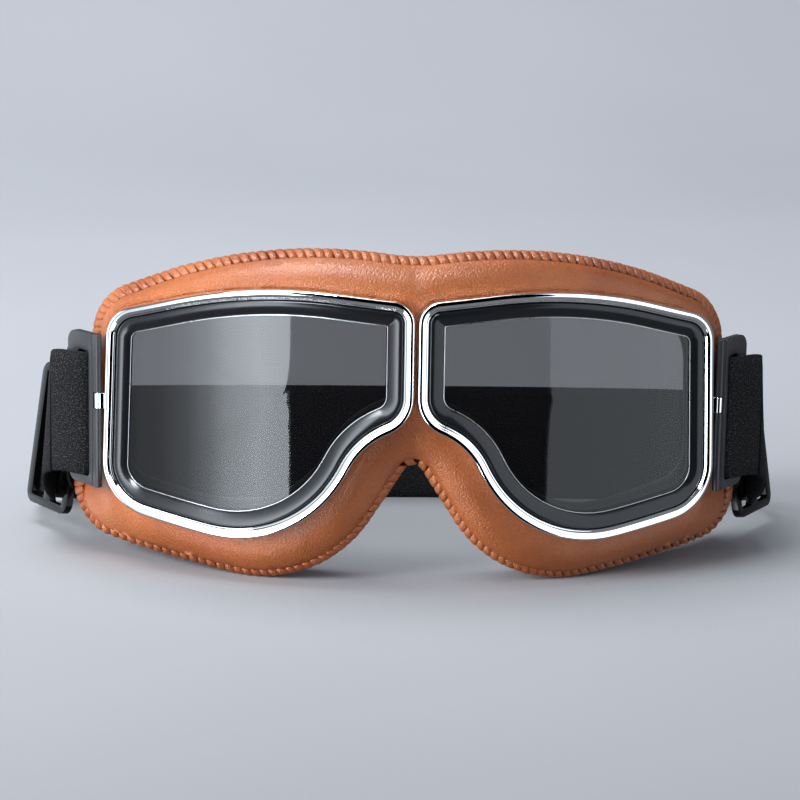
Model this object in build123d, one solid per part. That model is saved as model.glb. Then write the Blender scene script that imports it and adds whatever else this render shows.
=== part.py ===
from build123d import *
import math
import os

# Retro riding goggles: two chrome-rimmed curved lenses in a padded leather mask,
# with hinged strap holders, sliding buckles and an elastic head strap.
# Millimetres. +X is the wearer's left (the right of someone facing the goggles),
# -Y is the way the goggles look, +Z is up. The goggles stand on a table, on the two
# lower lobes of the mask and on the back of the strap.

os.makedirs("parts", exist_ok=True)

# ---- Front curve -----------------------------------------------------------------
# In plan the whole front is one arc. A layer is named by its depth behind the rims' face.
FRONT_RADIUS = 145.0
# Size of the blocks and columns that layers are cut from, larger than the goggles.
TALL = 300.0
FRONT_PART_DEPTH = 155.0

# Depth of each layer behind the rims' front face, front and back.
RIM_DEPTH = (0.0, 5.0)
LENS_LIP_DEPTH = (1.2, 3.2)
LENS_SEAT_DEPTH = (3.2, 6.5)
LENS_DEPTH = (3.2, 5.0)
GASKET_DEPTH = (5.0, 6.5)
LEATHER_LIP_DEPTH = (5.0, 6.5)
LEATHER_DEPTH = (5.0, 10.0)
BACK_FRAME_DEPTH = (6.5, 9.5)
BRIDGE_DEPTH = (9.5, 10.5)
LACING_DEPTH = (10.0, 12.5)
GUSSET_DEPTH = (12.5, 18.0)
FACE_PAD_DEPTH = (18.0, 27.0)
HOLDER_RECESS_DEPTH = (4.0, 8.5)

# ---- Outlines seen from the front: corner x, corner z, corner radius ---------------
RIM_CORNERS = [
    (0.6, 87.3, 6.8),
    (48.5, 92.2, 125.0),
    (92.6, 78.5, 10.6),
    (94.6, 19.2, 15.0),
    (33.5, 9.7, 40.0),
    (15.4, 44.7, 22.5),
    (0.6, 51.3, 12.0),
]
# The openings behind the lenses follow the rims but turn wider at the temple.
TUNNEL_TEMPLE_RADIUS = 26.0
TUNNEL_CORNERS = RIM_CORNERS[:2] + [(*RIM_CORNERS[2][:2], TUNNEL_TEMPLE_RADIUS)] + RIM_CORNERS[3:]
MASK_TOP_DIP = (0.0, 99.6, 60.0)
MASK_SIDE_CORNERS = [
    (46.5, 104.8, 125.0),
    (96.5, 81.2, 20.0),
    (106.4, 7.1, 14.0),
    (26.8, -3.04, 42.0),
]
MASK_NOSE_APEX = (0.0, 39.3, 3.0)

# Widths of the rings, measured inwards from the rim's outer edge.
RIM_WIDTH = 3.2
LENS_LIP_WIDTH = 7.8
LENS_SEAT_WIDTH = 5.6
LENS_EDGE_GAP = 0.1
GASKET_WIDTH = 7.4
BACK_FRAME_INSET = 0.2
BACK_FRAME_WIDTH = 8.0
LEATHER_LIP_INSET = 3.0
LEATHER_CLEAR_OF_RIM = 0.7
TUNNEL_INSET = 5.0
PAD_TUNNEL_INSET = 6.0

# Widths of the mask's rings, measured inwards from its outer edge.
LACING_INSETS = (0.3, 2.6)
GUSSET_INSET = 2.5
FACE_PAD_INSET = 5.5

# ---- Fasteners ---------------------------------------------------------------------
SCREW_RADIUS = 0.8
SCREW_HEAD_RADIUS = 1.5
SCREW_HEAD_HEIGHT = 0.8
SCREW_TIP_DEPTH = 2.5
SCREW_SEAT_GAP = 0.01
SCREW_PLACES = (0.12, 0.33, 0.62, 0.80, 0.92)
SCREW_INSET = 1.6
BRIDGE_HALF_LENGTH = 7.0
BRIDGE_HEIGHT = 11.0
BRIDGE_CORNER = 3.0
BRIDGE_Z = 68.0
BRIDGE_SCREW_X = 4.6
BRIDGE_SCREW_TIP_DEPTH = 7.5

# ---- Strap holder and its hinge, at mid height of the rim's outer end ---------------
HINGE_X = 95.6
HINGE_Y = 38.2
KNUCKLE_RADIUS = 1.15
PIN_RADIUS = 0.5
PIN_RUNNING_GAP = 0.05
PIN_SHORT_OF_ENDS = 1.5
LUG_Z = (47.8, 52.6)
LUG_RADIUS = 1.05
LUG_GAP = 0.12
LUG_FOOT_DEPTH = 1.6
LUG_FOOT_X = 93.6
LUG_BORE_OVERSHOOT = 1.0
HOLDER_Z = (23.0, 70.7)
HOLDER_REACH = 15.0
HOLDER_THICKNESS = 2.2
HOLDER_ANGLE = 53.0
HOLDER_CORNER = 4.0
HOLDER_NOTCH_CLEARANCE = 0.4
HOLDER_RECESS_MARGIN = 2.0
HOLDER_RECESS_X = (95.1, 136.1)
HOLDER_GROOVE_AT = 1.5
HOLDER_GROOVE = 0.5
SLOT_START = 3.6
SLOT_END = 9.2
SLOT_Z = (25.8, 65.2)
SLOT_CORNER = 1.0

# ---- Strap --------------------------------------------------------------------------
STRAP_WIDTH = 38.6
STRAP_THICKNESS = 1.6
STRAP_GAP = 0.2
STRAP_LEAN = 9.0
RUN_ANGLE = 58.0
# The strap's turn through the holder's slot and round its bar, from the layer next to the
# head to the outer layer: place along the holder's plate, place out from its middle, z.
TURN_POINTS = [
    (18.6, -2.1, 45.0),
    (15.0, -2.3, 45.5),
    (9.4, -2.3, 45.5),
    (7.0, -2.1, 45.5),
    (5.4, -1.3, 45.5),
    (4.75, 0.0, 45.5),
    (5.2, 1.4, 45.5),
    (6.6, 2.5, 45.5),
    (9.0, 3.2, 45.5),
    (12.0, 3.8, 45.4),
    (15.5, 4.2, 45.1),
    (18.6, 4.2, 44.5),
]
# Middle of the strap where it runs from the turn, past the slider and round to the back
# band: x, y, z and lean, which tips its top edge towards the head.
SIDE_POINTS = [
    (105.45, 55.0, 44.7, 0.0),
    (105.6, 57.8, 42.5, 2.0),
    (105.0, 61.2, 39.0, 4.5),
    (103.5, 65.4, 34.8, 7.0),
    (101.4, 69.3, 31.4, STRAP_LEAN),
    (116.2, 93.0, 28.0, STRAP_LEAN),
    (118.0, 100.0, 26.2, 7.0),
    (118.6, 106.6, 23.4, 4.5),
    (115.0, 113.0, 20.9, 2.0),
    (107.2, 117.2, 19.4, 0.0),
]
RUN_FROM = 4
# Middle of the strap's outer layer, from the turn to the slider's middle bar.
TAIL_POINTS = [
    (110.5, 51.2, 44.2, 1.0),
    (111.6, 54.1, 43.0, 3.0),
    (112.3, 58.0, 40.8, 5.0),
    (112.0, 62.5, 37.0, 7.0),
    (110.9, 67.8, 32.4, 8.5),
    (109.6, 73.4, 29.2, STRAP_LEAN),
    (110.45, 76.95, 29.0, STRAP_LEAN),
]
# Middle of the strap's back band, on one side, out to the end of the side run.
STRAP_BACK_POINTS = [(106.6, 117.5), (88.0, 120.8), (58.0, 122.4), (28.0, 123.2)]
STRAP_BACK_MIDDLE_Y = 123.4

# ---- Slider: a flat buckle with a middle bar ----------------------------------------
SLIDER_LENGTH = 27.0
SLIDER_HEIGHT = 46.0
SLIDER_THICKNESS = 2.4
SLIDER_RIM = 3.2
SLIDER_SIDE_RIM = 2.6
SLIDER_BAR = 4.0
SLIDER_CORNER = 4.0
SLIDER_WINDOW_CORNER = 1.0
SLIDER_START = 1.0
SLIDER_Z = 29.0


def outline(corners):
    """Flat face in the XZ plane with straight sides and rounded corners."""
    points = [(x, z) for x, z, r in corners]
    radii = [r for x, z, r in corners]
    return make_face(Plane.XZ * FilletPolyline(*points, radius=radii, close=True))


def grown(face, amount):
    """The outline moved outwards by amount, or inwards where it is negative."""
    return offset(face, amount=amount, kind=Kind.ARC)


def layer(face, depths):
    """The part of the curved front between two depths that the outline covers."""
    front, back = depths
    column = extrude(face, amount=TALL, dir=(0, 1, 0))
    at = Pos(0, FRONT_RADIUS, 0)
    band = at * Cylinder(FRONT_RADIUS - front, TALL) - at * Cylinder(FRONT_RADIUS - back, TALL)
    front_part = Pos(0, FRONT_RADIUS - FRONT_PART_DEPTH / 2, 0) * Box(TALL, FRONT_PART_DEPTH, TALL)
    return column & band & front_part


def other_side(shape):
    return mirror(shape, about=Plane.YZ)


def depth_at(x, depth):
    """Y of a layer's surface at a distance x from the middle."""
    return FRONT_RADIUS - math.sqrt((FRONT_RADIUS - depth) ** 2 - x**2)


# ---- Shared outlines ------------------------------------------------------------------
rim_face = outline(RIM_CORNERS)
tunnel_face = outline(TUNNEL_CORNERS)
mirrored_corners = [(-x, z, r) for x, z, r in reversed(MASK_SIDE_CORNERS)]
mask_face = outline([MASK_TOP_DIP] + MASK_SIDE_CORNERS + [MASK_NOSE_APEX] + mirrored_corners)


def both(face):
    return face + other_side(face)


# ---- Rims, lenses and what holds them ---------------------------------------------------
def screw_spots():
    """Places (x, z) of the screws, around the middle of the rim's width."""
    path = grown(rim_face, -SCREW_INSET).faces()[0].outer_wire()
    spots = [path @ t for t in SCREW_PLACES]
    return [(spot.X, spot.Z) for spot in spots]


def pin_along_y(x, z, radius, start, end):
    return Pos(x, (start + end) / 2, z) * Rot(90, 0, 0) * Cylinder(radius, end - start)


def screw_shank(x, z):
    start = depth_at(x, SCREW_TIP_DEPTH)
    return pin_along_y(x, z, SCREW_RADIUS, start, head_seat(x, BACK_FRAME_DEPTH[1]))


def head_seat(x, depth):
    """Y of a flat screw head's underside, which rests on the curved layer's high side."""
    return depth_at(x + SCREW_HEAD_RADIUS, depth) + SCREW_SEAT_GAP


def screw_head(x, z, depth):
    seat = head_seat(x, depth)
    return pin_along_y(x, z, SCREW_HEAD_RADIUS, seat, seat + SCREW_HEAD_HEIGHT)


def frame_screws():
    return [screw_shank(x, z) + screw_head(x, z, BACK_FRAME_DEPTH[1]) for x, z in screw_spots()]


def without_screws(shape):
    for x, z in screw_spots():
        shape -= screw_shank(x, z)
    return shape


def bezel():
    ring = layer(rim_face - grown(rim_face, -RIM_WIDTH), RIM_DEPTH)
    return without_screws(ring)


def lens_frame():
    outer = grown(rim_face, -RIM_WIDTH)
    lip = layer(outer - grown(rim_face, -LENS_LIP_WIDTH), LENS_LIP_DEPTH)
    seat = layer(outer - grown(rim_face, -LENS_SEAT_WIDTH), LENS_SEAT_DEPTH)
    return lip + seat


def lens():
    return layer(grown(rim_face, -LENS_SEAT_WIDTH - LENS_EDGE_GAP), LENS_DEPTH)


def lens_gasket():
    return layer(grown(rim_face, -LENS_SEAT_WIDTH) - grown(rim_face, -GASKET_WIDTH), GASKET_DEPTH)


def back_frame():
    ring = layer(grown(rim_face, -BACK_FRAME_INSET) - grown(rim_face, -BACK_FRAME_WIDTH), BACK_FRAME_DEPTH)
    return without_screws(ring) - bridge_screw()


def bridge_screw():
    x = BRIDGE_SCREW_X
    tip = depth_at(x, BRIDGE_SCREW_TIP_DEPTH)
    return pin_along_y(x, BRIDGE_Z, SCREW_RADIUS, tip, head_seat(x, BRIDGE_DEPTH[1]))


def bridge_screws():
    screw = bridge_screw() + screw_head(BRIDGE_SCREW_X, BRIDGE_Z, BRIDGE_DEPTH[1])
    return [screw, other_side(screw)]


def bridge_link():
    plate_face = RectangleRounded(2 * BRIDGE_HALF_LENGTH, BRIDGE_HEIGHT, BRIDGE_CORNER)
    plate_face = Plane.XZ * Pos(0, BRIDGE_Z) * plate_face
    plate = layer(plate_face, BRIDGE_DEPTH)
    return plate - both(bridge_screw())


# ---- Leather mask -------------------------------------------------------------------------
def holder_recess():
    """Dip in the mask's side, where the strap holder lies over it."""
    inner, outer = HOLDER_RECESS_X
    height = HOLDER_Z[1] - HOLDER_Z[0] + 2 * HOLDER_RECESS_MARGIN
    face = Plane.XZ * Pos((inner + outer) / 2, sum(HOLDER_Z) / 2) * Rectangle(outer - inner, height)
    return layer(face, HOLDER_RECESS_DEPTH)


def leather_mask():
    around = grown(rim_face, LEATHER_CLEAR_OF_RIM)
    panel = layer(mask_face - both(around), LEATHER_DEPTH)
    lip = layer(both(around) - both(grown(rim_face, -LEATHER_LIP_INSET)), LEATHER_LIP_DEPTH)
    mask = panel + lip
    for x, z in screw_spots():
        shank = screw_shank(x, z)
        mask -= shank
        mask -= other_side(shank)
    recess = holder_recess()
    return mask - recess - other_side(recess)


def edge_lacing():
    outside, inside = LACING_INSETS
    return layer(grown(mask_face, -outside) - grown(mask_face, -inside), LACING_DEPTH)


def leather_gusset():
    tunnel = both(grown(tunnel_face, -TUNNEL_INSET))
    return layer(grown(mask_face, -GUSSET_INSET) - tunnel, GUSSET_DEPTH)


def face_pad():
    tunnel = both(grown(tunnel_face, -PAD_TUNNEL_INSET))
    return layer(grown(mask_face, -FACE_PAD_INSET) - tunnel, FACE_PAD_DEPTH)


# ---- Strap holder -----------------------------------------------------------------------------
hinge_line = Pos(HINGE_X, HINGE_Y, 0)


def upright(radius, low, high):
    return hinge_line * Pos(0, 0, (low + high) / 2) * Cylinder(radius, high - low)


def hinge_lug():
    low, high = LUG_Z
    foot = Pos((LUG_FOOT_X + HINGE_X) / 2, HINGE_Y, (low + high) / 2)
    lug = upright(LUG_RADIUS, low, high) + foot * Box(HINGE_X - LUG_FOOT_X, LUG_FOOT_DEPTH, high - low)
    bore = upright(PIN_RADIUS + PIN_RUNNING_GAP, low - LUG_BORE_OVERSHOOT, high + LUG_BORE_OVERSHOOT)
    return lug - bore - bezel()


def hinge_pin():
    low, high = HOLDER_Z
    return upright(PIN_RADIUS, low + PIN_SHORT_OF_ENDS, high - PIN_SHORT_OF_ENDS)


def holder_plate_frame():
    """Frame whose X runs out along the holder's plate from the hinge."""
    return hinge_line * Rot(0, 0, HOLDER_ANGLE)


def strap_holder():
    low, high = HOLDER_Z
    height = high - low
    lug_low, lug_high = LUG_Z
    knuckles = upright(KNUCKLE_RADIUS, low, lug_low - LUG_GAP)
    knuckles += upright(KNUCKLE_RADIUS, lug_high + LUG_GAP, high)
    middle = Plane.XZ * Pos(HOLDER_REACH / 2, (low + high) / 2)
    blank = middle * Rectangle(HOLDER_REACH, height)
    outer_corners = blank.vertices().group_by(Axis.X)[-1]
    blank = fillet(outer_corners, HOLDER_CORNER)
    slot_middle = Plane.XZ * Pos((SLOT_START + SLOT_END) / 2, sum(SLOT_Z) / 2)
    slot = slot_middle * RectangleRounded(SLOT_END - SLOT_START, SLOT_Z[1] - SLOT_Z[0], SLOT_CORNER)
    plate = extrude(blank - slot, amount=HOLDER_THICKNESS / 2, both=True)
    groove_at = Pos(HOLDER_GROOVE_AT, -HOLDER_THICKNESS / 2, (low + high) / 2)
    plate -= groove_at * Box(HOLDER_GROOVE, HOLDER_GROOVE, 2 * height)
    notch_height = lug_high - lug_low + 2 * LUG_GAP
    notch_size = 2 * (KNUCKLE_RADIUS + HOLDER_NOTCH_CLEARANCE)
    notch = Pos(0, 0, sum(LUG_Z) / 2) * Box(notch_size, 2 * HOLDER_THICKNESS, notch_height)
    plate = holder_plate_frame() * (plate - notch)
    return knuckles + plate - hinge_pin()


# ---- Strap ---------------------------------------------------------------------------------------
def strap_section(x, y, z, heading, lean):
    """Cross-section of the strap. Heading is its way in plan, lean tips its top inwards."""
    along = Vector(math.cos(heading), math.sin(heading), 0)
    outwards = Vector(math.sin(heading), -math.cos(heading), 0)
    tip = math.radians(lean)
    across = outwards * -math.sin(tip) + Vector(0, 0, math.cos(tip))
    plane = Plane(origin=(x, y, z), x_dir=across, z_dir=along)
    return plane * Rectangle(STRAP_WIDTH, STRAP_THICKNESS)


def headings(points):
    """Way of a path in plan at each of its points."""
    found = []
    for i in range(len(points)):
        before = points[max(i - 1, 0)]
        after = points[min(i + 1, len(points) - 1)]
        found.append(math.atan2(after[1] - before[1], after[0] - before[0]))
    return found


def webbing(points, ways):
    """Strap through points of x, y, z and lean, with its way in plan at each."""
    sections = [strap_section(x, y, z, way, lean) for (x, y, z, lean), way in zip(points, ways)]
    return loft(sections, ruled=True)


def strap_turn():
    """The strap's turn through the holder's slot and round its outer bar."""
    angle = math.radians(HOLDER_ANGLE)
    points = []
    for along, out, z in TURN_POINTS:
        x = HINGE_X + along * math.cos(angle) + out * math.sin(angle)
        y = HINGE_Y + along * math.sin(angle) - out * math.cos(angle)
        points.append((x, y, z))
    # The layer next to the head runs towards the hinge here, so its own outside is inwards.
    ways = headings(points)
    sections = [strap_section(*point, way, 0.0) for point, way in zip(points, ways)]
    return loft(sections, ruled=True)


def strap_side():
    ways = headings(SIDE_POINTS)
    ways[RUN_FROM] = math.radians(RUN_ANGLE)
    ways[RUN_FROM + 1] = math.radians(RUN_ANGLE)
    return webbing(SIDE_POINTS, ways)


def strap_tail():
    """The outer layer, from the turn to the slider's middle bar."""
    return webbing(TAIL_POINTS, headings(TAIL_POINTS))


def strap_back():
    height = STRAP_WIDTH / 2
    right = [(x, y, height, 0.0) for x, y in STRAP_BACK_POINTS]
    left = [(-x, y, height, 0.0) for x, y in reversed(STRAP_BACK_POINTS)]
    points = right + [(0.0, STRAP_BACK_MIDDLE_Y, height, 0.0)] + left
    return webbing(points, headings(points))


def slider():
    """Flat buckle on the outside of the straight run, with the tail round its middle bar."""
    heading = math.radians(RUN_ANGLE)
    along = Vector(math.cos(heading), math.sin(heading), 0)
    side = Vector(math.sin(heading), -math.cos(heading), 0)
    lean = math.radians(STRAP_LEAN)
    across = side * -math.sin(lean) + Vector(0, 0, math.cos(lean))
    normal = side * math.cos(lean) + Vector(0, 0, math.sin(lean))
    x, y, z, tipped = SIDE_POINTS[RUN_FROM]
    middle = Vector(x, y, SLIDER_Z) + along * (SLIDER_START + SLIDER_LENGTH / 2)
    middle += side * (z - SLIDER_Z) * math.tan(lean)
    middle += normal * (STRAP_THICKNESS / 2 + STRAP_GAP + SLIDER_THICKNESS / 2)
    frame = RectangleRounded(SLIDER_LENGTH, SLIDER_HEIGHT, SLIDER_CORNER)
    window = (SLIDER_LENGTH - 2 * SLIDER_RIM - SLIDER_BAR) / 2
    window_at = (SLIDER_BAR + window) / 2
    hole = RectangleRounded(window, SLIDER_HEIGHT - 2 * SLIDER_SIDE_RIM, SLIDER_WINDOW_CORNER)
    frame = frame - Pos(window_at, 0) * hole - Pos(-window_at, 0) * hole
    plane = Plane(origin=middle, x_dir=along, z_dir=normal)
    return plane * extrude(frame, amount=SLIDER_THICKNESS / 2, both=True)


parts = {}
for side, place in (("right", lambda shape: shape), ("left", other_side)):
    parts["bezel_" + side] = place(bezel())
    parts["lens_frame_" + side] = place(lens_frame())
    parts["lens_" + side] = place(lens())
    parts["lens_gasket_" + side] = place(lens_gasket())
    parts["back_frame_" + side] = place(back_frame())
    parts["frame_screws_" + side] = Compound([place(screw) for screw in frame_screws()])
    parts["hinge_lug_" + side] = place(hinge_lug())
    parts["hinge_pin_" + side] = place(hinge_pin())
    parts["strap_holder_" + side] = place(strap_holder())
    parts["strap_loop_" + side] = place(strap_turn())
    parts["strap_tail_" + side] = place(strap_tail())
    parts["strap_side_" + side] = place(strap_side())
    parts["slider_" + side] = place(slider())
parts["bridge_link"] = bridge_link()
parts["bridge_screws"] = Compound(bridge_screws())
parts["leather_mask"] = leather_mask()
parts["edge_lacing"] = edge_lacing()
parts["leather_gusset"] = leather_gusset()
parts["face_pad"] = face_pad()
parts["strap_back"] = strap_back()

# The origin is the middle of the bottom of the box that holds everything.
boxes = [part.bounding_box() for part in parts.values()]
front = min(box.min.Y for box in boxes)
back = max(box.max.Y for box in boxes)
bottom = min(box.min.Z for box in boxes)
move = Pos(0, -(front + back) / 2, -bottom)
print("front", front, "back", back, "bottom", bottom)
for name, part in parts.items():
    solids = part.solids()
    shape = solids[0] if len(solids) == 1 else Compound(solids)
    export_step(move * shape, "parts/" + name + ".step")
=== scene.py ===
import math

import bmesh
import bpy
import numpy as np
from mathutils import Matrix, Vector
from mathutils.geometry import delaunay_2d_cdt


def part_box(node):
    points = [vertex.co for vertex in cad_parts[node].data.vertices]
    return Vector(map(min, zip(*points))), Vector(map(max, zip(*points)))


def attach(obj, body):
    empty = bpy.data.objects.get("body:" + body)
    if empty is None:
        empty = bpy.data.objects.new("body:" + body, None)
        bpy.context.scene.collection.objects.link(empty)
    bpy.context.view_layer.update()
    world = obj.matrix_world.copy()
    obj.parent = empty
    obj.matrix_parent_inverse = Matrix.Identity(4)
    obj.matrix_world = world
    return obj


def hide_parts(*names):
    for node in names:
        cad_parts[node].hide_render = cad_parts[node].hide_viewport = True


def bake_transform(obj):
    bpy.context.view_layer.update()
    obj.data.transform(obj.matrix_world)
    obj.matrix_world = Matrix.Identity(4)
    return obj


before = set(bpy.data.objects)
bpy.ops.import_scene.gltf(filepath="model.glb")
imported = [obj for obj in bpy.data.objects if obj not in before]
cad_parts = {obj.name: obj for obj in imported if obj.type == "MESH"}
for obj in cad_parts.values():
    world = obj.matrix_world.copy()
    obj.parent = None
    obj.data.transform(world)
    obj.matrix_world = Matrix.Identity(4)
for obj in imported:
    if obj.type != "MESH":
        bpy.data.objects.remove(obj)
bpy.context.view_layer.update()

MM = 0.001
SIDES = (("right", 1.0), ("left", -1.0))

# ---- The curved front, as the CAD has it --------------------------------------------
FRONT_RADIUS = 145.0
FRONT_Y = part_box("bezel_right")[0].y / MM
CURVE_Y = FRONT_Y + FRONT_RADIUS

# Corner x, corner z and corner radius of the outlines, in millimetres.
RIM_CORNERS = [
    (0.6, 87.3, 6.8),
    (48.5, 92.2, 125.0),
    (92.6, 78.5, 10.6),
    (94.6, 19.2, 15.0),
    (33.5, 9.7, 40.0),
    (15.4, 44.7, 22.5),
    (0.6, 51.3, 12.0),
]
MASK_SIDE_CORNERS = [
    (46.5, 104.8, 125.0),
    (96.5, 81.2, 20.0),
    (106.4, 7.1, 14.0),
    (26.8, -3.04, 42.0),
]
MASK_CORNERS = (
    [(0.0, 99.6, 60.0)]
    + MASK_SIDE_CORNERS
    + [(0.0, 39.3, 3.0)]
    + [(-x, z, r) for x, z, r in reversed(MASK_SIDE_CORNERS)]
)
LEAST_CORNER = 0.5


def on_front(x, z, depth):
    """Point in metres on the layer at a depth behind the rims' face."""
    y = CURVE_Y - np.sqrt((FRONT_RADIUS - depth) ** 2 - np.square(x))
    return np.stack(np.broadcast_arrays(x, y, z), axis=-1) * MM


def outline(corners, inset=0.0, arc_steps=14, side_steps=12):
    """Points (x, z) round a closed outline with rounded corners, moved inwards by inset."""
    spots = np.array([(x, z) for x, z, r in corners])
    ways = np.roll(spots, -1, axis=0) - spots
    ways /= np.linalg.norm(ways, axis=1)[:, None]
    twice_area = np.sum(spots[:, 0] * np.roll(spots[:, 1], -1) - np.roll(spots[:, 0], -1) * spots[:, 1])
    turn_in = math.copysign(1.0, twice_area)
    normals = np.stack([-ways[:, 1], ways[:, 0]], axis=1) * turn_in
    rows = []
    for i, (x, z, radius) in enumerate(corners):
        before, after = ways[i - 1], ways[i]
        n_before, n_after = normals[i - 1], normals[i]
        corner = spots[i] + inset * (n_before + n_after) / (1 + n_before @ n_after)
        cross = before[0] * after[1] - before[1] * after[0]
        turn = math.atan2(abs(cross), before @ after)
        inward = math.copysign(1.0, cross) == turn_in
        r = max(radius - inset if inward else radius + inset, LEAST_CORNER)
        middle_way = n_before if inward else -n_before
        reach = r * math.tan(turn / 2)
        start = corner - before * reach
        arc = []
        for k in range(arc_steps + 1):
            a = turn * k / arc_steps
            arc.append(start + r * (math.sin(a) * before + (1 - math.cos(a)) * middle_way))
        rows.append(arc)
    points = []
    for i, arc in enumerate(rows):
        points += arc
        begin, end = arc[-1], rows[(i + 1) % len(rows)][0]
        points += [begin + (end - begin) * k / side_steps for k in range(1, side_steps)]
    return np.array(points)


# ---- Mesh helpers ---------------------------------------------------------------------
def new_object(name, verts, faces, smooth=True):
    mesh = bpy.data.meshes.new(name)
    mesh.from_pydata([tuple(v) for v in verts], [], faces)
    mesh.update()
    if smooth:
        mesh.polygons.foreach_set("use_smooth", [True] * len(mesh.polygons))
    obj = bpy.data.objects.new(name, mesh)
    bpy.context.scene.collection.objects.link(obj)
    return obj


def face_outwards(obj):
    bm = bmesh.new()
    bm.from_mesh(obj.data)
    bmesh.ops.remove_doubles(bm, verts=bm.verts, dist=1e-6)
    bmesh.ops.recalc_face_normals(bm, faces=bm.faces)
    bm.to_mesh(obj.data)
    bm.free()
    return obj


def loops_mesh(name, loops, closed_profile=True):
    """Surface through closed loops of points with equal counts; a closed profile makes a ring."""
    loops = [np.asarray(loop) for loop in loops]
    count = len(loops[0])
    verts = np.concatenate(loops)
    faces = []
    last = len(loops) if closed_profile else len(loops) - 1
    for i in range(last):
        j = (i + 1) % len(loops)
        for k in range(count):
            m = (k + 1) % count
            faces.append((i * count + k, i * count + m, j * count + m, j * count + k))
    return face_outwards(new_object(name, verts, faces))


def ring(name, corners, profile, sign=1.0):
    """Ring with a closed profile of (inset, depth) that follows an outline on the curved front."""
    loops = []
    for inset, depth in profile:
        points = outline(corners, inset)
        loops.append(on_front(points[:, 0] * sign, points[:, 1], depth))
    return loops_mesh(name, loops)


def subdivide(obj, levels):
    modifier = obj.modifiers.new("smooth", "SUBSURF")
    modifier.levels = levels
    modifier.render_levels = levels
    return obj


def apply_modifiers(obj):
    bpy.context.view_layer.update()
    graph = bpy.context.evaluated_depsgraph_get()
    mesh = bpy.data.meshes.new_from_object(obj.evaluated_get(graph))
    obj.modifiers.clear()
    obj.data = mesh
    return obj


def inside(points, loop):
    """Whether each point (x, z) lies in the loop."""
    x, z = points[:, 0][:, None], points[:, 1][:, None]
    ax, az = loop[:, 0], loop[:, 1]
    bx, bz = np.roll(ax, -1), np.roll(az, -1)
    crosses = (az > z) != (bz > z)
    with np.errstate(divide="ignore", invalid="ignore"):
        at = (bx - ax) * (z - az) / (bz - az) + ax
    return (np.sum(crosses & (x < at), axis=1) % 2) == 1


def nearest(points, loop):
    """Distance of each point to the loop, and how far along the loop its nearest place is."""
    a = loop
    b = np.roll(loop, -1, axis=0)
    way = b - a
    length = np.maximum(np.linalg.norm(way, axis=1), 1e-9)
    start = np.concatenate([[0.0], np.cumsum(length)[:-1]])
    best = np.full(len(points), 1e9)
    place = np.zeros(len(points))
    for i in range(len(a)):
        t = np.clip(((points - a[i]) @ way[i]) / length[i] ** 2, 0, 1)
        gap = np.linalg.norm(points - (a[i] + t[:, None] * way[i]), axis=1)
        closer = gap < best
        best[closer] = gap[closer]
        place[closer] = start[i] + t[closer] * length[i]
    return best, place


def sheet_points(outer, holes, step):
    """Triangles over the space inside outer and outside the holes: points (x, z) and triples."""
    low, high = outer.min(axis=0), outer.max(axis=0)
    rows = []
    row_gap = step * math.sqrt(3) / 2
    for i, z in enumerate(np.arange(low[1], high[1], row_gap)):
        shift = step / 2 if i % 2 else 0.0
        xs = np.arange(step / 2 + shift, high[0], step)
        rows.append(np.stack([xs, np.full(len(xs), z)], axis=1))
        rows.append(np.stack([-xs, np.full(len(xs), z)], axis=1))
    grid = np.concatenate(rows)
    grid = grid[inside(grid, outer)]
    grid = grid[nearest(grid, outer)[0] > step * 0.6]
    for hole in holes:
        grid = grid[~inside(grid, hole)]
        grid = grid[nearest(grid, hole)[0] > step * 0.6]
    loops = [outer] + list(holes)
    points = np.concatenate(loops + [grid])
    edges = []
    at = 0
    for loop in loops:
        n = len(loop)
        edges += [(at + k, at + (k + 1) % n) for k in range(n)]
        at += n
    made = delaunay_2d_cdt([Vector(p) for p in points], edges, [], 0, 1e-5)
    points = np.array([tuple(v) for v in made[0]])
    triangles = np.array([tuple(f) for f in made[2]])
    middles = points[triangles].mean(axis=1)
    keep = inside(middles, outer)
    for hole in holes:
        keep &= ~inside(middles, hole)
    return points, triangles[keep]


def slab(name, outer, holes, front_depth, back_depth, step):
    """Closed body between two depths, each a function of the points (x, z)."""
    points, triangles = sheet_points(outer, holes, step)
    front = on_front(points[:, 0], points[:, 1], front_depth(points))
    back = on_front(points[:, 0], points[:, 1], back_depth(points))
    count = len(points)
    edge_use = {}
    for a, b, c in triangles:
        for e in ((a, b), (b, c), (c, a)):
            edge_use.setdefault((min(e), max(e)), []).append(e)
    faces = [tuple(t) for t in triangles]
    faces += [(c + count, b + count, a + count) for a, b, c in triangles]
    for uses in edge_use.values():
        if len(uses) == 1:
            a, b = uses[0]
            faces.append((b, a, a + count, b + count))
    return face_outwards(new_object(name, np.concatenate([front, back]), faces))


BEVEL_ABOVE = math.radians(35.0)
SHARP_ABOVE = math.radians(30)


def refined(name, node, bevel):
    """A copy of a CAD node with its sharp edges broken, which stands for that node."""
    obj = bpy.data.objects.new(name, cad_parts[node].data.copy())
    bpy.context.scene.collection.objects.link(obj)
    bm = bmesh.new()
    bm.from_mesh(obj.data)
    bmesh.ops.remove_doubles(bm, verts=bm.verts, dist=2e-6)
    bmesh.ops.dissolve_limit(
        bm, angle_limit=math.radians(1.0), verts=bm.verts, edges=bm.edges, delimit=set()
    )
    bm.to_mesh(obj.data)
    bm.free()
    modifier = obj.modifiers.new("bevel", "BEVEL")
    modifier.width = bevel * MM
    modifier.segments = 3
    modifier.limit_method = "ANGLE"
    modifier.angle_limit = BEVEL_ABOVE
    modifier.harden_normals = False
    apply_modifiers(obj)
    obj.data.polygons.foreach_set("use_smooth", [True] * len(obj.data.polygons))
    obj.data.set_sharp_from_angle(angle=SHARP_ABOVE)
    obj.data.materials.clear()
    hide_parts(node)
    return obj


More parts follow.
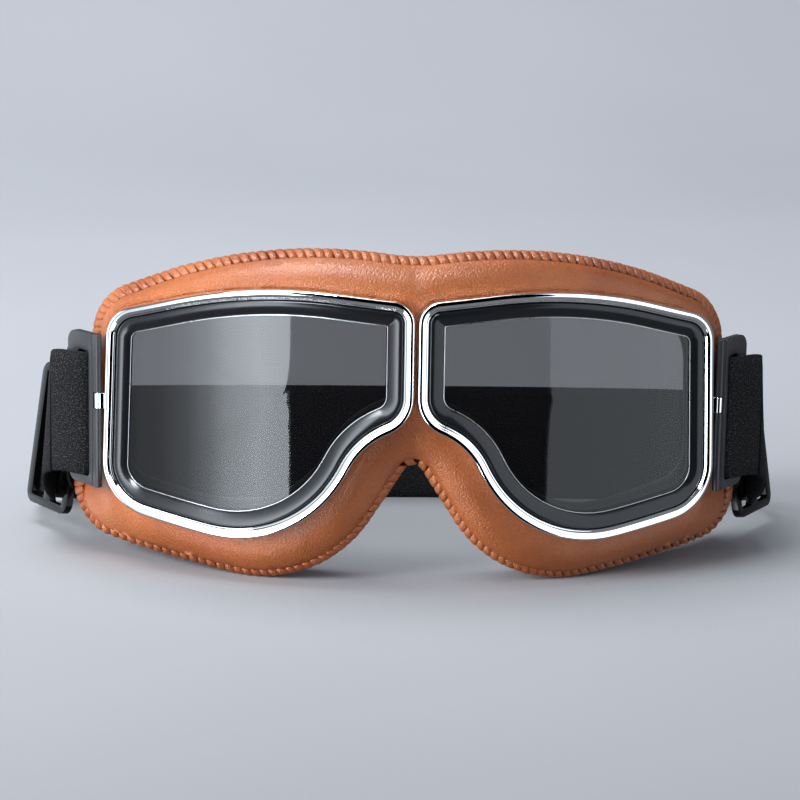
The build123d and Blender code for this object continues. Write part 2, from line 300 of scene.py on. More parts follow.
# ---- Materials --------------------------------------------------------------------------
class Surface:
    """A Principled material and short calls for the nodes that feed it."""

    def __init__(self, name, colour, roughness, **sockets):
        self.material = bpy.data.materials.new(name)
        self.material.use_nodes = True
        self.nodes = self.material.node_tree.nodes
        self.links = self.material.node_tree.links
        self.shader = self.nodes["Principled BSDF"]
        self.set("Base Color", (*colour, 1.0))
        self.set("Roughness", roughness)
        for key, value in sockets.items():
            self.set(key.replace("_", " "), value)

    def set(self, socket, value):
        self.shader.inputs[socket].default_value = value

    def add(self, kind, inputs=None, **properties):
        node = self.nodes.new("ShaderNode" + kind)
        for key, value in properties.items():
            setattr(node, key, value)
        for key, value in (inputs or {}).items():
            if isinstance(value, bpy.types.NodeSocket):
                self.links.new(value, node.inputs[key])
            else:
                node.inputs[key].default_value = value
        return node

    def place(self, uv=False):
        coordinates = self.add("TexCoord")
        return coordinates.outputs["UV" if uv else "Object"]

    def noise(self, scale, vector, detail=3.0, rough=0.5):
        inputs = {"Scale": scale, "Vector": vector, "Detail": detail, "Roughness": rough}
        return self.add("TexNoise", inputs).outputs["Fac"]

    def cells(self, scale, vector, feature="F1", randomness=1.0):
        node = self.add("TexVoronoi", feature=feature)
        node.inputs["Scale"].default_value = scale
        node.inputs["Randomness"].default_value = randomness
        self.links.new(vector, node.inputs["Vector"])
        return node.outputs["Distance"]

    def ramp(self, fac, stops):
        node = self.add("ValToRGB", {"Fac": fac})
        ramp = node.color_ramp
        while len(ramp.elements) < len(stops):
            ramp.elements.new(0.5)
        for element, (position, colour) in zip(ramp.elements, stops):
            element.position = position
            element.color = (*colour, 1.0) if len(colour) == 3 else colour
        return node.outputs["Color"]

    def mix(self, fac, a, b, blend="MIX"):
        node = self.add("Mix", data_type="RGBA", blend_type=blend)
        for index, value in ((0, fac), (6, a), (7, b)):
            if isinstance(value, bpy.types.NodeSocket):
                self.links.new(value, node.inputs[index])
            else:
                node.inputs[index].default_value = value
        return node.outputs[2]

    def math(self, operation, a, b=0.0):
        node = self.add("Math", operation=operation)
        for index, value in ((0, a), (1, b)):
            if isinstance(value, bpy.types.NodeSocket):
                self.links.new(value, node.inputs[index])
            else:
                node.inputs[index].default_value = value
        return node.outputs[0]

    def feed(self, socket, output):
        self.links.new(output, self.shader.inputs[socket])

    def bump(self, height, distance, strength=1.0, under=None):
        node = self.add("Bump", {"Height": height, "Distance": distance, "Strength": strength})
        if under is not None:
            self.links.new(under, node.inputs["Normal"])
        self.feed("Normal", node.outputs["Normal"])
        return node.outputs["Normal"]


def leather_material(name, deep, mid, light):
    s = Surface(name, mid, 0.42, Specular_IOR_Level=0.45, Coat_Weight=0.06, Coat_Roughness=0.35)
    at = s.place()
    patches = s.noise(45.0, at, 4.0)
    fine = s.noise(420.0, at, 3.0)
    grain = s.cells(1700.0, at, "F1")
    creases = s.cells(620.0, at, "DISTANCE_TO_EDGE")
    base = s.ramp(patches, [(0.3, deep), (0.5, mid), (0.72, light)])
    # The grain's pebbles are painted a little lighter and the grooves between them darker: painted shade in
    # the recesses of the grain bump.
    grain_groove_shade = s.ramp(grain, [(0.1, (1.06, 1.06, 1.06)), (0.65, (0.86, 0.84, 0.82))])
    s.feed("Base Color", s.mix(1.0, base, grain_groove_shade, "MULTIPLY"))
    s.feed("Roughness", s.ramp(fine, [(0.3, (0.33,) * 3), (0.7, (0.46,) * 3)]))
    under = s.bump(s.ramp(creases, [(0.0, (0.0,) * 3), (0.12, (1.0,) * 3)]), 0.00005, 0.35)
    s.bump(s.math("MULTIPLY", grain, -1.0), 0.0002, 0.6, under)
    return s.material


def chrome_material():
    s = Surface("chrome", (0.88, 0.89, 0.9), 0.05, Metallic=1.0)
    at = s.place()
    s.feed("Roughness", s.ramp(s.noise(300.0, at, 4.0), [(0.35, (0.03,) * 3), (0.75, (0.1,) * 3)]))
    s.bump(s.noise(90.0, at, 2.0), 0.00002, 0.3)
    return s.material


def plastic_material(name, colour, smooth, rough, grain_scale, grain_depth, **sockets):
    s = Surface(name, colour, smooth, **sockets)
    at = s.place()
    s.feed("Roughness", s.ramp(s.noise(160.0, at, 4.0), [(0.3, (smooth,) * 3), (0.75, (rough,) * 3)]))
    s.bump(s.noise(grain_scale, at, 2.0), grain_depth, 0.4)
    return s.material


def lens_material():
    s = Surface("smoke_lens", (0.006, 0.006, 0.007), 0.02, IOR=1.5, Alpha=0.57)
    at = s.place()
    s.feed("Roughness", s.ramp(s.noise(60.0, at, 3.0), [(0.3, (0.012,) * 3), (0.8, (0.04,) * 3)]))
    return s.material


def elastic_material():
    s = Surface("strap_elastic", (0.01, 0.01, 0.012), 0.85, Specular_IOR_Level=0.15)
    at = s.place(uv=True)
    worms = s.noise(2100.0, at, 2.0, 0.6)
    broad = s.noise(130.0, at, 3.0)
    rib_inputs = {"Scale": 110.0, "Vector": at, "Distortion": 0.6, "Detail": 1.0}
    ribs = s.add("TexWave", rib_inputs, bands_direction="Y")
    bright = s.ramp(worms, [(0.45, (0.003,) * 3), (0.56, (0.012, 0.012, 0.014)), (0.68, (0.09, 0.09, 0.1))])
    shade = s.ramp(broad, [(0.3, (0.8,) * 3), (0.7, (1.15,) * 3)])
    s.feed("Base Color", s.mix(1.0, bright, shade, "MULTIPLY"))
    under = s.bump(ribs.outputs["Fac"], 0.00012, 0.3)
    s.bump(worms, 0.0005, 0.9, under)
    return s.material


def pad_material():
    s = Surface("pad_fabric", (0.02, 0.02, 0.022), 0.9, Sheen_Weight=0.35, Sheen_Roughness=0.4)
    at = s.place()
    weave = s.cells(1500.0, at, "F1", randomness=0.4)
    s.feed("Base Color", s.ramp(s.noise(500.0, at, 4.0), [(0.3, (0.012,) * 3), (0.8, (0.032, 0.032, 0.035))]))
    s.bump(s.math("MULTIPLY", weave, -1.0), 0.00025, 0.8)
    return s.material


MATERIALS = {
    "rim_chrome": chrome_material(),
    "rim_black": plastic_material(
        "rim_black", (0.014, 0.015, 0.018), 0.14, 0.24, 900.0, 0.00002, Specular_IOR_Level=0.36
    ),
    "smoke_lens": lens_material(),
    "gasket_rubber": plastic_material("gasket_rubber", (0.05, 0.05, 0.055), 0.25, 0.4, 1200.0, 0.00002),
    "frame_plastic": plastic_material("frame_plastic", (0.02, 0.02, 0.022), 0.45, 0.6, 1500.0, 0.00004),
    "steel": plastic_material("steel", (0.55, 0.55, 0.57), 0.25, 0.4, 2500.0, 0.00002, Metallic=1.0),
    "holder_plastic": plastic_material("holder_plastic", (0.024, 0.025, 0.029), 0.38, 0.52, 2600.0, 0.00004),
    "slider_gloss": plastic_material(
        "slider_gloss", (0.004, 0.004, 0.005), 0.14, 0.24, 700.0, 0.00001, Specular_IOR_Level=0.16
    ),
    "strap_elastic": elastic_material(),
    "tan_leather": leather_material(
        "tan_leather", (0.39, 0.1, 0.025), (0.46, 0.128, 0.034), (0.53, 0.16, 0.046)
    ),
    "lacing_leather": leather_material(
        "lacing_leather", (0.36, 0.085, 0.022), (0.47, 0.13, 0.036), (0.58, 0.19, 0.06)
    ),
    "pad_fabric": pad_material(),
}


def finish_piece(obj, slot, body, *nodes):
    obj.data.materials.clear()
    obj.data.materials.append(MATERIALS[slot])
    if nodes:
        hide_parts(*nodes)
    if body:
        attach(obj, body)
    return obj


# ---- Rims, lens frames, lenses ------------------------------------------------------------
RIM_PROFILE = [
    (0.0, 5.0), (0.0, 3.6), (0.0, 2.0), (0.0, 0.9), (0.06, 0.42), (0.25, 0.14), (0.6, 0.02), (1.0, 0.02),
    (1.35, 0.1), (1.6, 0.3), (1.9, 0.42), (2.25, 0.62), (2.5, 0.95), (2.7, 1.05), (2.95, 1.25), (3.12, 1.7),
    (3.2, 2.3), (3.2, 5.0),
]
LENS_FRAME_PROFILE = [
    (3.25, 6.4), (3.25, 2.7), (3.27, 1.9), (3.4, 1.42), (3.8, 1.22), (4.4, 1.28), (5.1, 1.5), (5.8, 1.8),
    (6.5, 2.2), (7.05, 2.55), (7.45, 2.85), (7.7, 3.05), (7.72, 3.15), (5.6, 3.15), (5.6, 6.4),
]
LENS_BACK_DEPTH = 5.0
LENS_FRONT_DEPTH = 3.2
GASKET_PROFILE = [(5.6, 5.0), (7.4, 5.0), (7.4, 6.0), (7.0, 6.5), (5.6, 6.5)]
BEAD_MIDDLE = (7.86, 2.98)
BEAD_RADIUS = 0.12
BEAD_STEPS = 8


def lens_piece(name, sign):
    """Curved lens as loops shrunk towards its middle, with a rounded edge."""
    loops = []
    edge = outline(RIM_CORNERS, 5.75)
    middle = edge.mean(axis=0)
    fills = [0.02, 0.25, 0.45, 0.62, 0.76, 0.87, 0.95, 0.99]
    for share in fills:
        points = middle + (edge - middle) * share
        loops.append(on_front(points[:, 0] * sign, points[:, 1], LENS_FRONT_DEPTH))
    loops.append(on_front(edge[:, 0] * sign, edge[:, 1], LENS_FRONT_DEPTH + 0.15))
    loops.append(on_front(edge[:, 0] * sign, edge[:, 1], LENS_BACK_DEPTH - 0.15))
    for share in reversed(fills):
        points = middle + (edge - middle) * share
        loops.append(on_front(points[:, 0] * sign, points[:, 1], LENS_BACK_DEPTH))
    obj = loops_mesh(name, loops, closed_profile=False)
    bm = bmesh.new()
    bm.from_mesh(obj.data)
    bmesh.ops.holes_fill(bm, edges=bm.edges)
    bmesh.ops.recalc_face_normals(bm, faces=bm.faces)
    bm.to_mesh(obj.data)
    bm.free()
    return obj


for side, sign in SIDES:
    rim = subdivide(ring("rim_" + side, RIM_CORNERS, RIM_PROFILE, sign), 1)
    finish_piece(rim, "rim_chrome", "front", "bezel_" + side)
    inner = subdivide(ring("lens_rim_" + side, RIM_CORNERS, LENS_FRAME_PROFILE, sign), 1)
    finish_piece(inner, "rim_black", "front", "lens_frame_" + side)
    glass = lens_piece("smoke_glass_" + side, sign)
    finish_piece(glass, "smoke_lens", "front", "lens_" + side)
    seal = ring("seal_" + side, RIM_CORNERS, GASKET_PROFILE, sign)
    finish_piece(seal, "gasket_rubber", "front", "lens_gasket_" + side)
    turns = [2 * math.pi * k / BEAD_STEPS for k in range(BEAD_STEPS)]
    bead_profile = [
        (BEAD_MIDDLE[0] + BEAD_RADIUS * math.cos(a), BEAD_MIDDLE[1] + BEAD_RADIUS * math.sin(a))
        for a in turns
    ]
    bead = ring("seal_bead_" + side, RIM_CORNERS, bead_profile, sign)
    finish_piece(bead, "steel", "front")

# ---- Leather mask ---------------------------------------------------------------------------
STITCH_PITCH = 2.8
PANEL_EDGE_DEPTH = 10.3
PANEL_START_DEPTH = 5.2
LEATHER_THICKNESS = 1.5
PANEL_EDGE_INSET = 2.5
UNDER_RIM = 1.2
PANEL_SWELL = 0.9
SWELL_POWER = 1.3
FALL_POWER = 1.9
PUCKER = 0.1
PUCKER_REACH = 1.6
# Beside the holders the leather lies lower, between these x and z.
HOLLOW_X = (91.0, 96.0)
HOLLOW_LOW_Z = (12.0, 22.0)
HOLLOW_HIGH_Z = (71.0, 79.0)
HOLLOW_DEPTH = 2.6

mask_line = outline(MASK_CORNERS, 0.0, 16, 24)
rim_lines = {side: outline(RIM_CORNERS, 0.0) * (sign, 1.0) for side, sign in SIDES}
rim_holes = [outline(RIM_CORNERS, UNDER_RIM) * (sign, 1.0) for side, sign in SIDES]


def smoothstep(low, high, value):
    t = np.clip((value - low) / (high - low), 0, 1)
    return t * t * (3 - 2 * t)


def rim_distance(points):
    """How far a point lies outside the rims, 0 under them."""
    gap = np.full(len(points), 1e9)
    for line in rim_lines.values():
        d = nearest(points, line)[0]
        d[inside(points, line)] = 0.0
        gap = np.minimum(gap, d)
    return gap


def panel_depth(points):
    """The leather lies low beside the rims, swells, and rolls back to its laced edge."""
    to_edge, along = nearest(points, mask_line)
    to_rim = rim_distance(points)
    share = to_rim / (to_rim + to_edge + 1e-6)
    swell = PANEL_SWELL * np.sin(np.pi * np.clip(share, 0, 1)) ** SWELL_POWER
    fall = (PANEL_EDGE_DEPTH - PANEL_START_DEPTH) * np.power(np.clip(share, 0, 1), FALL_POWER)
    pucker = PUCKER * np.cos(2 * np.pi * along / STITCH_PITCH) * np.exp(-to_edge / PUCKER_REACH)
    hollow = smoothstep(*HOLLOW_X, np.abs(points[:, 0]))
    hollow *= smoothstep(*HOLLOW_LOW_Z, points[:, 1]) * (1 - smoothstep(*HOLLOW_HIGH_Z, points[:, 1]))
    beside_holder = HOLLOW_DEPTH * hollow * np.sin(np.pi * share)
    return PANEL_START_DEPTH + fall - swell * (1 - hollow) + beside_holder + pucker


def panel_back(points):
    return panel_depth(points) + LEATHER_THICKNESS


mask_piece = slab(
    "leather_panel", outline(MASK_CORNERS, PANEL_EDGE_INSET, 16, 24), rim_holes, panel_depth, panel_back, 1.5
)
finish_piece(mask_piece, "tan_leather", "front", "leather_mask")


WALK_AHEAD = 0.4


def walk(line, pitch):
    """Places evenly spaced round a closed line, with the way along it and the way in."""
    length = np.linalg.norm(np.roll(line, -1, axis=0) - line, axis=1)
    total = length.sum()
    starts = np.concatenate([[0.0], np.cumsum(length)])
    closed = np.concatenate([line, line[:1]])
    count = round(total / pitch)
    at = np.arange(count) * total / count
    spots = np.stack([np.interp(at, starts, closed[:, i]) for i in (0, 1)], axis=1)
    further = (at + WALK_AHEAD) % total
    ahead = np.stack([np.interp(further, starts, closed[:, i]) for i in (0, 1)], axis=1)
    ways = ahead - spots
    ways /= np.linalg.norm(ways, axis=1)[:, None]
    inwards = np.stack([ways[:, 1], -ways[:, 0]], axis=1)
    return spots, ways, inwards


# The lace lies on the front face, turns over the edge and comes back behind: inset, depth.
LACE_PATH = [
    (3.8, 9.9), (3.4, 9.15), (2.7, 8.95), (1.9, 9.1), (1.15, 9.55), (0.65, 10.2), (0.5, 11.0), (0.7, 11.8),
    (1.3, 12.4), (2.2, 12.65), (3.2, 12.5),
]
LACE_HALF_WIDTH = 1.34
LACE_HALF_THICKNESS = 0.5
LACE_SIDES = 10
LACE_SLANT = 1.7


def lacing_piece():
    """The lace whipped round the edge: one slanted turn for each stitch."""
    rng = np.random.default_rng(4)
    spots, ways, inwards = walk(mask_line, STITCH_PITCH)
    steps = len(LACE_PATH) - 1
    verts, faces = [], []
    for spot, way, inward in zip(spots, ways, inwards):
        slant = LACE_SLANT * (1 + 0.06 * rng.standard_normal())
        fat = 1 + 0.05 * rng.standard_normal()
        centres = []
        for k, (inset, depth) in enumerate(LACE_PATH):
            flat = spot + inward * inset + way * slant * (1 - 2 * k / steps)
            centres.append(on_front(flat[0], flat[1], depth) / MM)
        centres = np.array(centres)
        tangents = np.gradient(centres, axis=0)
        tangents /= np.linalg.norm(tangents, axis=1)[:, None]
        along = np.array([way[0], 0.0, way[1]])
        first = len(verts)
        for k, (centre, tangent) in enumerate(zip(centres, tangents)):
            side_way = along - tangent * (along @ tangent)
            side_way /= np.linalg.norm(side_way)
            out_way = np.cross(tangent, side_way)
            taper = math.sqrt(max(1 - abs(2 * k / steps - 1) ** 6, 0.03))
            for m in range(LACE_SIDES):
                t = 2 * math.pi * m / LACE_SIDES
                across = LACE_HALF_WIDTH * math.cos(t) * side_way
                across = across + LACE_HALF_THICKNESS * math.sin(t) * out_way
                verts.append((centre + taper * fat * across) * MM)
        for k in range(steps):
            for m in range(LACE_SIDES):
                n = (m + 1) % LACE_SIDES
                a = first + k * LACE_SIDES
                faces.append((a + m, a + n, a + LACE_SIDES + n, a + LACE_SIDES + m))
        faces.append(tuple(first + m for m in range(LACE_SIDES)))
        last = first + steps * LACE_SIDES
        faces.append(tuple(last + m for m in reversed(range(LACE_SIDES))))
    return face_outwards(new_object("lace", verts, faces))


finish_piece(lacing_piece(), "lacing_leather", "front", "edge_lacing")

# ---- Gusset and face pad -----------------------------------------------------------------------
GUSSET_EDGE = 2.2
GUSSET_DEPTHS = (12.2, 18.4)
PAD_EDGE = 4.6
PAD_DEPTHS = (18.2, 27.0)
TUNNEL = 5.2
TEMPLE_RADIUS = 26.0
TUNNEL_CORNERS = RIM_CORNERS[:2] + [(*RIM_CORNERS[2][:2], TEMPLE_RADIUS)] + RIM_CORNERS[3:]


def rounded(distance, radius):
    """How far a rounded edge falls back at a distance from it."""
    d = np.clip(distance, 0, radius)
    return radius - np.sqrt(np.maximum(radius**2 - (radius - d) ** 2, 0))


def soft_slab(name, edge, tunnel, depths, radius, step):
    outer = outline(MASK_CORNERS, edge, 16, 16)
    holes = [outline(TUNNEL_CORNERS, tunnel) * (sign, 1.0) for side, sign in SIDES]

    def from_edge(points):
        d = nearest(points, outer)[0]
        for hole in holes:
            d = np.minimum(d, nearest(points, hole)[0])
        return d

    def front_depth(points):
        return depths[0] + 0.35 * rounded(from_edge(points), radius)

    def back_depth(points):
        return depths[1] - rounded(from_edge(points), radius)

    return slab(name, outer, holes, front_depth, back_depth, step)


gusset = soft_slab("gusset", GUSSET_EDGE, TUNNEL, GUSSET_DEPTHS, 1.6, 1.8)
finish_piece(gusset, "tan_leather", "front", "leather_gusset")
pad = soft_slab("foam_pad", PAD_EDGE, TUNNEL + 0.8, PAD_DEPTHS, 3.6, 1.3)
finish_piece(pad, "pad_fabric", "front", "face_pad")

# ---- Holders, lugs, sliders: CAD shapes with broken edges -------------------------------------------
for side, sign in SIDES:
    holder = refined("holder_plate_" + side, "strap_holder_" + side, 0.45)
    finish_piece(holder, "holder_plastic", "holder_" + side)
    lug = refined("lug_" + side, "hinge_lug_" + side, 0.25)
    finish_piece(lug, "rim_chrome", "front")
    buckle = refined("buckle_" + side, "slider_" + side, 0.8)
    finish_piece(buckle, "slider_gloss", "slider_" + side)

for node, slot in (
    ("hinge_pin", "steel"),
    ("frame_screws", "steel"),
    ("back_frame", "frame_plastic"),
):
    for side, sign in SIDES:
        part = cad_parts[node + "_" + side]
        part.data.materials.clear()
        part.data.materials.append(MATERIALS[slot])
for node in ("bridge_link", "bridge_screws"):
    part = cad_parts[node]
    part.data.materials.clear()
    part.data.materials.append(MATERIALS["steel"])

# ---- Strap ---------------------------------------------------------------------------------------------
STRAP_WIDTH = 38.6
STRAP_THICKNESS = 1.6
STRAP_EDGE = 0.35
STRAP_EDGE_THINNING = 0.25
STRAP_ACROSS_STEPS = 14
HINGE_AT = (95.6, 38.2)
HOLDER_ANGLE = math.radians(53.0)
STRAP_LEAN = 9.0
TURN_Z = 45.5
# Along the holder's plate, out from its middle, z: the strap's turn through the slot.
TURN_POINTS = [
    (18.6, -2.1, 45.0), (15.0, -2.3, TURN_Z), (9.4, -2.3, TURN_Z), (7.0, -2.1, TURN_Z), (5.4, -1.3, TURN_Z),
    (4.75, 0.0, TURN_Z), (5.2, 1.4, TURN_Z), (6.6, 2.5, TURN_Z), (9.0, 3.2, TURN_Z), (12.0, 3.8, 45.4),
    (15.5, 4.2, 45.1), (18.6, 4.2, 44.5),
]
# x, y, z and lean of the strap's middle.
SIDE_POINTS = [
    (105.45, 55.0, 44.7, 0.0), (105.6, 57.8, 42.5, 2.0), (105.0, 61.2, 39.0, 4.5), (103.5, 65.4, 34.8, 7.0),
    (101.4, 69.3, 31.4, STRAP_LEAN), (108.8, 81.1, 29.7, STRAP_LEAN), (116.2, 93.0, 28.0, STRAP_LEAN),
    (118.0, 100.0, 26.2, 7.0), (118.6, 106.6, 23.4, 4.5), (115.0, 113.0, 20.9, 2.0),
    (107.2, 117.2, 19.4, 0.0),
]
TAIL_POINTS = [
    (110.5, 51.2, 44.2, 1.0), (111.6, 54.1, 43.0, 3.0), (112.3, 58.0, 40.8, 5.0), (112.0, 62.5, 37.0, 7.0),
    (110.9, 67.8, 32.4, 8.5), (109.6, 73.4, 29.2, STRAP_LEAN), (110.45, 76.95, 29.0, STRAP_LEAN),
]
BACK_POINTS = [(88.0, 120.8), (58.0, 122.4), (28.0, 123.2), (0.0, 123.4)]


def curve_through(points, steps):
    """Smooth line through the points."""
    p = np.array(points, float)
    ends = np.concatenate([[2 * p[0] - p[1]], p, [2 * p[-1] - p[-2]]])
    found = []
    for i in range(1, len(ends) - 2):
        a, b, c, d = ends[i - 1], ends[i], ends[i + 1], ends[i + 2]
        for k in range(steps):
            t = k / steps
            square, cube = 2 * a - 5 * b + 4 * c - d, 3 * b - a - 3 * c + d
            found.append(0.5 * (2 * b + (c - a) * t + square * t**2 + cube * t**3))
    found.append(ends[-2])
    return np.array(found)


def ribbon(name, path, leans, sign):
    """Elastic along a path of (x, y, z) in millimetres. Leans are degrees, top towards the head."""
    path = np.array(path, float)
    n = len(path)
    ways = np.gradient(path, axis=0)
    ways[:, 2] = 0.0
    ways /= np.linalg.norm(ways, axis=1)[:, None]
    outwards = np.stack([ways[:, 1], -ways[:, 0], np.zeros(n)], axis=1)
    lean = np.radians(np.broadcast_to(leans, n))[:, None]
    up = np.array([0.0, 0.0, 1.0])
    across = -outwards * np.sin(lean) + up * np.cos(lean)
    normal = outwards * np.cos(lean) + up * np.sin(lean)
    half = STRAP_THICKNESS / 2
    section = []
    for k in range(STRAP_ACROSS_STEPS + 1):
        s = 2 * k / STRAP_ACROSS_STEPS - 1
        section.append((s * (STRAP_WIDTH / 2 - STRAP_EDGE), half * (1 - STRAP_EDGE_THINNING * abs(s) ** 12)))
    section.append((STRAP_WIDTH / 2, 0.0))
    for k in range(STRAP_ACROSS_STEPS + 1):
        s = 1 - 2 * k / STRAP_ACROSS_STEPS
        section.append((s * (STRAP_WIDTH / 2 - STRAP_EDGE), -half * (1 - STRAP_EDGE_THINNING * abs(s) ** 12)))
    section.append((-STRAP_WIDTH / 2, 0.0))
    count = len(section)
    around = np.cumsum([0.0] + [math.dist(section[i], section[i + 1]) for i in range(count - 1)])
    steps = np.linalg.norm(np.diff(path, axis=0), axis=1)
    run = np.concatenate([[0.0], np.cumsum(steps)])
    verts, marks = [], []
    for i in range(n):
        for (s, t), v in zip(section, around):
            point = path[i] + across[i] * s + normal[i] * t
            point[1] += FRONT_Y
            verts.append(point * MM * (sign, 1, 1))
            marks.append((run[i] * MM, v * MM))
    faces = []
    for i in range(n - 1):
        j = i + 1
        for k in range(count):
            m = (k + 1) % count
            faces.append((i * count + k, i * count + m, j * count + m, j * count + k))
    faces.append(tuple(range(count)))
    faces.append(tuple((n - 1) * count + k for k in reversed(range(count))))
    obj = new_object(name, verts, faces)
    layer = obj.data.uv_layers.new(name="run")
    for loop in obj.data.loops:
        layer.data[loop.index].uv = marks[loop.vertex_index]
    bm = bmesh.new()
    bm.from_mesh(obj.data)
    bmesh.ops.recalc_face_normals(bm, faces=bm.faces)
    bm.to_mesh(obj.data)
    bm.free()
    return obj


def holder_point(along, outwards):
    """Place in plan from the hinge: along the holder's plate, and out from its face."""
    c, s = math.cos(HOLDER_ANGLE), math.sin(HOLDER_ANGLE)
    return HINGE_AT[0] + along * c + outwards * s, HINGE_AT[1] + along * s - outwards * c


turn_line = curve_through([(*holder_point(along, out), z) for along, out, z in TURN_POINTS], 5)
side_line = curve_through(SIDE_POINTS, 8)
tail_line = curve_through(TAIL_POINTS, 8)
back_half = curve_through([SIDE_POINTS[-2][:2], SIDE_POINTS[-1][:2]] + BACK_POINTS, 12)[12:]
back_right = [(x, y, STRAP_WIDTH / 2) for x, y in back_half]
back_line = back_right + [(-x, y, z) for x, y, z in reversed(back_right[:-1])]

for side, sign in SIDES:
    turn = ribbon("strap_turn_" + side, turn_line, 0.0, sign)
    finish_piece(turn, "strap_elastic", "holder_" + side, "strap_loop_" + side)
    run = ribbon("strap_run_" + side, side_line[:, :3], side_line[:, 3], sign)
    finish_piece(run, "strap_elastic", None, "strap_side_" + side)
    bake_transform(run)
    tail = ribbon("strap_end_" + side, tail_line[:, :3], tail_line[:, 3], sign)
    finish_piece(tail, "strap_elastic", None, "strap_tail_" + side)
    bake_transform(tail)
back_band = ribbon("strap_band", back_line, 0.0, 1.0)
finish_piece(back_band, "strap_elastic", "front", "strap_back")


# ---- Floor, light and camera -------------------------------------------------------------------------------
def stage_floor():
    """Pale floor that curves up into a backdrop, its colour painted darker towards the near end as painted
    shade.
    """
    s = Surface("floor", (0.56, 0.59, 0.64), 0.75, Specular_IOR_Level=0.0)
    at = s.place()
    # Generated Y runs from the near end of the floor to the backdrop. Along it the colour is painted shade:
    # darker on the floor in front and lighter up the backdrop, standing in for how the light falls off.
    depth = s.add("SeparateXYZ", {"Vector": s.add("TexCoord").outputs["Generated"]}).outputs["Y"]
    painted_shade_stops = [(0.56, (0.34, 0.355, 0.385)), (0.66, (0.5, 0.525, 0.57)), (0.85, (0.68, 0.71, 0.765))]
    painted_shade_tones = s.ramp(depth, painted_shade_stops)
    mottle = s.ramp(s.noise(3.0, at, 2.0), [(0.3, (0.97,) * 3), (0.7, (1.03,) * 3)])
    s.feed("Base Color", s.mix(1.0, painted_shade_tones, mottle, "MULTIPLY"))
    profile = [(-3.0, 0.0), (0.9, 0.0)]
    for k in range(1, 13):
        a = math.pi / 2 * k / 12
        profile.append((0.9 + 0.7 * math.sin(a), 0.7 - 0.7 * math.cos(a)))
    profile.append((1.6, 3.0))
    verts = [(x, y, z) for y, z in profile for x in (-3.0, 3.0)]
    faces = [(2 * k, 2 * k + 1, 2 * k + 3, 2 * k + 2) for k in range(len(profile) - 1)]
    floor = new_object("floor", verts, faces)
    floor.data.materials.append(s.material)


def area_light(name, place, aim, size, power):
    data = bpy.data.lights.new(name, "AREA")
    data.shape = "RECTANGLE"
    data.size, data.size_y = size
    data.energy = power
    lamp = bpy.data.objects.new(name, data)
    bpy.context.scene.collection.objects.link(lamp)
    lamp.location = place
    way = Vector(aim) - Vector(place)
    lamp.rotation_euler = way.to_track_quat("-Z", "Y").to_euler()
    lamp.visible_camera = False
    lamp.visible_glossy = name == "top_box"


COOL = (0.86, 0.93, 1.0)


def reflected_card(name, corners, strength, falloff):
    """Flat card that shows only in reflections: a softbox's face, or a black flag.

    Its brightness follows the falloff's stops from its low X side to its high X side.
    """
    s = Surface(name, (0.0, 0.0, 0.0), 1.0, Specular_IOR_Level=0.0)
    s.set("Emission Color", (*COOL, 1.0))
    across = s.add("SeparateXYZ", {"Vector": s.add("TexCoord").outputs["Generated"]}).outputs["X"]
    level = s.ramp(across, [(at, (share,) * 3) for at, share in falloff])
    s.feed("Emission Strength", s.math("MULTIPLY", level, strength))
    card = new_object(name, corners, [tuple(range(4))], smooth=False)
    card.data.materials.append(s.material)
    for kind in ("camera", "diffuse", "shadow", "transmission", "volume_scatter"):
        setattr(card, "visible_" + kind, False)


def upright_card(name, near, far, heights, strength, falloff=((0.0, 1.0), (1.0, 1.0))):
    """Card between two places (x, y) on the floor."""
    (ax, ay), (bx, by) = near, far
    low, high = heights
    corners = [(ax, ay, low), (bx, by, low), (bx, by, high), (ax, ay, high)]
    reflected_card(name, corners, strength, falloff)


stage_floor()
bpy.data.objects["floor"].visible_glossy = False
world = bpy.data.worlds.new("studio")
bpy.context.scene.world = world
world.use_nodes = True
world.node_tree.nodes["Background"].inputs["Color"].default_value = (0.6, 0.64, 0.7, 1)
world.node_tree.nodes["Background"].inputs["Strength"].default_value = 0.3

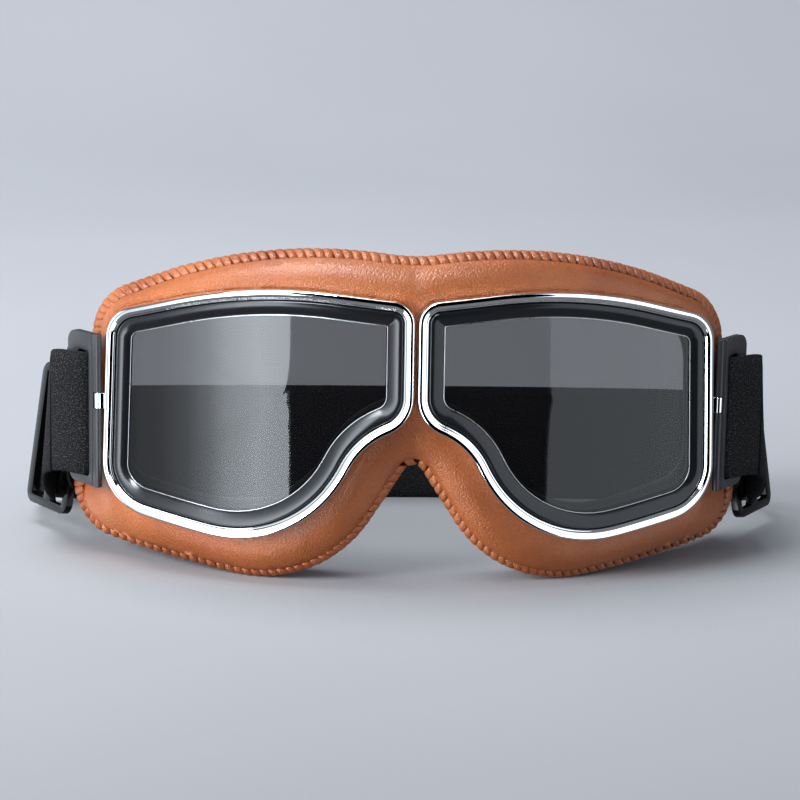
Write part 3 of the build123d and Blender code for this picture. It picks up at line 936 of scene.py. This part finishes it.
TARGET = Vector((-4.65, FRONT_Y, 58.76)) * MM
area_light("top_box", (-0.3, 0.15, 1.3), (0, 0, 0), (1.0, 0.9), 12)
area_light("left_box", (-1.25, -0.65, 0.55), (0, 0, 0.05), (0.8, 0.8), 26)
area_light("right_box", (1.15, -0.6, 0.5), (0, 0, 0.05), (0.8, 1.0), 1.5)
upright_card("flag", (-0.61, -1.06), (0.83, -1.06), (-1.2, 1.6), 0.0)
LEFT_FALLOFF = ((0.0, 0.05), (0.4, 0.1), (0.54, 0.2), (0.64, 0.4), (0.72, 0.72), (0.85, 1.0), (1.0, 0.85))
upright_card("left_face", (-0.62, -1.06), (-1.5, -0.1), (-1.0, 1.3), 12.0, LEFT_FALLOFF)
upright_card("right_face", (0.84, -1.06), (1.6, -0.1), (-1.0, 1.3), 1.9)
upright_card("rear_left_face", (-1.5, 0.05), (-1.0, 1.1), (-0.8, 0.6), 2.0)
# High card at the front left: the soft white patch on the leather over the left lens.
reflected_card(
    "high_face",
    [(-0.68, -0.62, 0.7), (-0.22, -0.8, 0.7), (-0.2, -0.6, 1.0), (-0.6, -0.45, 1.0)],
    45.0,
    ((0.0, 0.3), (0.5, 1.0), (1.0, 0.8)),
)

CAMERA_DISTANCE = 0.85
CAMERA_AZIMUTH = math.radians(-2.46)
CAMERA_ELEVATION = math.radians(11.5)
CAMERA_ROLL = math.radians(0.89)
FOCAL_PIXELS = 2890.0
FRAME_PIXELS = 800.0
SENSOR = 36.0


def make_camera():
    data = bpy.data.cameras.new("camera")
    data.sensor_width = SENSOR
    data.lens = SENSOR * FOCAL_PIXELS / FRAME_PIXELS
    data.clip_start = 0.01
    camera = bpy.data.objects.new("camera", data)
    bpy.context.scene.collection.objects.link(camera)
    level = math.cos(CAMERA_ELEVATION)
    away = Vector(
        (math.sin(CAMERA_AZIMUTH) * level, -math.cos(CAMERA_AZIMUTH) * level, math.sin(CAMERA_ELEVATION))
    )
    camera.location = TARGET + away * CAMERA_DISTANCE
    turn = (-away).to_track_quat("-Z", "Y").to_matrix().to_4x4()
    roll = Matrix.Rotation(CAMERA_ROLL, 4, "Z")
    camera.rotation_mode = "QUATERNION"
    camera.rotation_quaternion = (turn @ roll).to_quaternion()
    bpy.context.scene.camera = camera


make_camera()
bpy.context.scene.view_settings.view_transform = "Standard"
